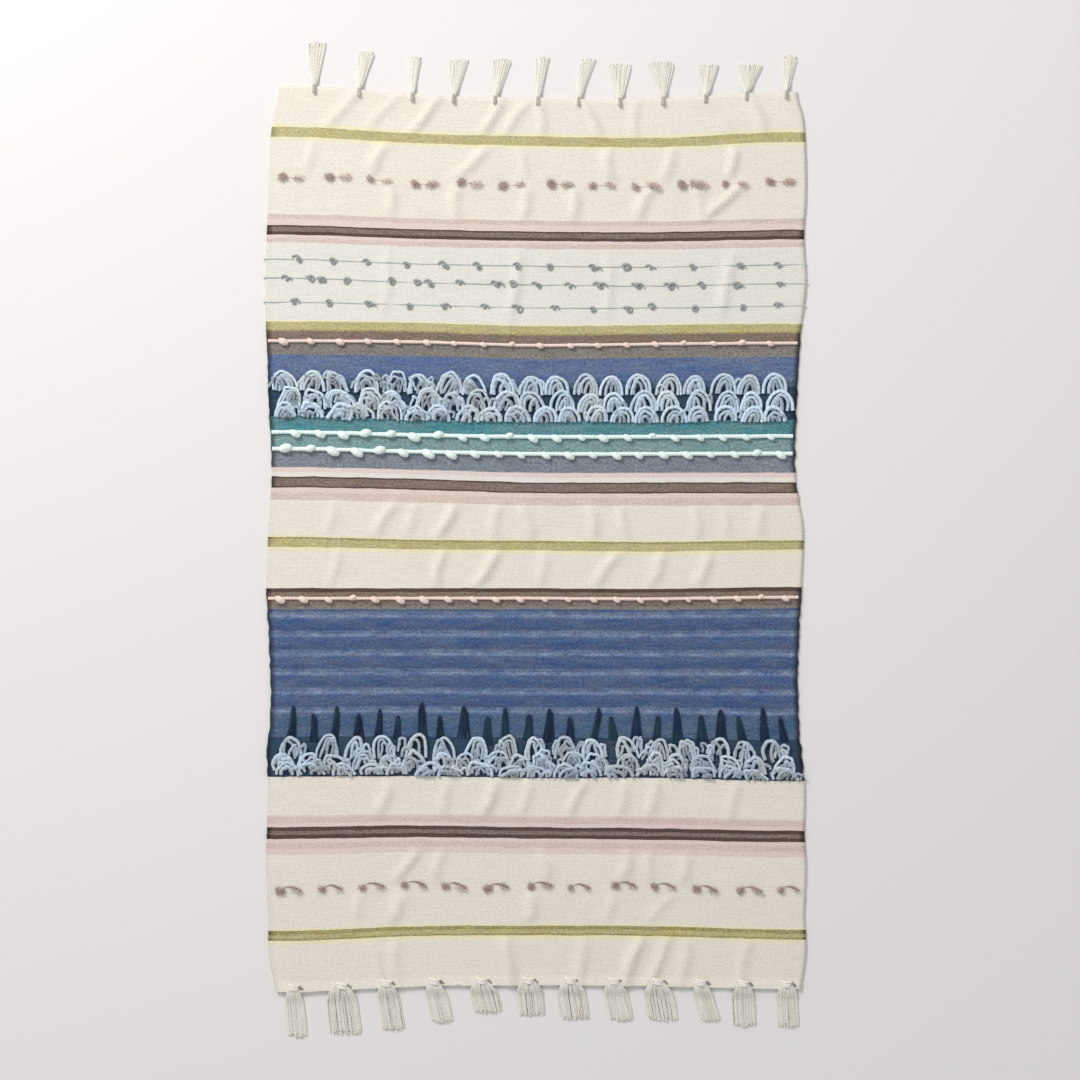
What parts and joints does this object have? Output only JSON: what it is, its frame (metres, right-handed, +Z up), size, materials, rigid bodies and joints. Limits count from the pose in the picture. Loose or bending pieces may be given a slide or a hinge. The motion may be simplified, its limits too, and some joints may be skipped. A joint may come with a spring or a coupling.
{
  "type": "flat-woven wool rug",
  "caption": "Striped flat-woven wool rug with bands of raised yarn loops, knotted cords, curled and tufted yarns, and knotted tassels along both ends.",
  "frame": {"origin": "on the floor, under the middle of the whole rug with its tassels", "axes": "+X across the rug along its wefts, +Y along its length towards the end shown at the top of the picture, +Z up from the floor"},
  "size_m": [0.932, 1.6996, 0.0133],
  "materials": {
    "cloth": "matte woven wool, cream with olive, brown, pink, blue and teal stripes",
    "loops": "matte plied wool yarn, pale grey-blue",
    "navy": "matte plied wool yarn, navy",
    "peach": "matte knotted wool cord, peach",
    "white": "matte slubbed wool cord, pale ice white",
    "curls": "matte thin wool yarn, grey-blue",
    "tufts": "fuzzy soft wool tufts, brown and dusty pink",
    "tassels": "matte twisted cotton or wool yarn, undyed"
  },
  "bodies": {
    "root": {"woven_cloth": "cloth", "navy_loops": "navy", "pale_loops_upper_1": "loops", "pale_loops_upper_2": "loops", "pale_loops_upper_3": "loops", "pale_loops_lower_1": "loops", "pale_loops_lower_2": "loops", "pale_loops_lower_3": "loops", "peach_knot_cord_1": "peach", "peach_knot_cord_2": "peach", "white_knot_cord_1": "white", "white_knot_cord_2": "white", "grey_curl_yarn_1": "curls", "grey_curl_yarn_2": "curls", "grey_curl_yarn_3": "curls", "brown_tuft_yarn_1": "tufts", "brown_tuft_yarn_2": "tufts", "tassel_top_01": "tassels", "tassel_top_02": "tassels", "tassel_top_03": "tassels", "tassel_top_04": "tassels", "tassel_top_05": "tassels", "tassel_top_06": "tassels", "tassel_top_07": "tassels", "tassel_top_08": "tassels", "tassel_top_09": "tassels", "tassel_top_10": "tassels", "tassel_top_11": "tassels", "tassel_top_12": "tassels", "tassel_bottom_01": "tassels", "tassel_bottom_02": "tassels", "tassel_bottom_03": "tassels", "tassel_bottom_04": "tassels", "tassel_bottom_05": "tassels", "tassel_bottom_06": "tassels", "tassel_bottom_07": "tassels", "tassel_bottom_08": "tassels", "tassel_bottom_09": "tassels", "tassel_bottom_10": "tassels", "tassel_bottom_11": "tassels", "tassel_bottom_12": "tassels"}
  },
  "joints": []
}
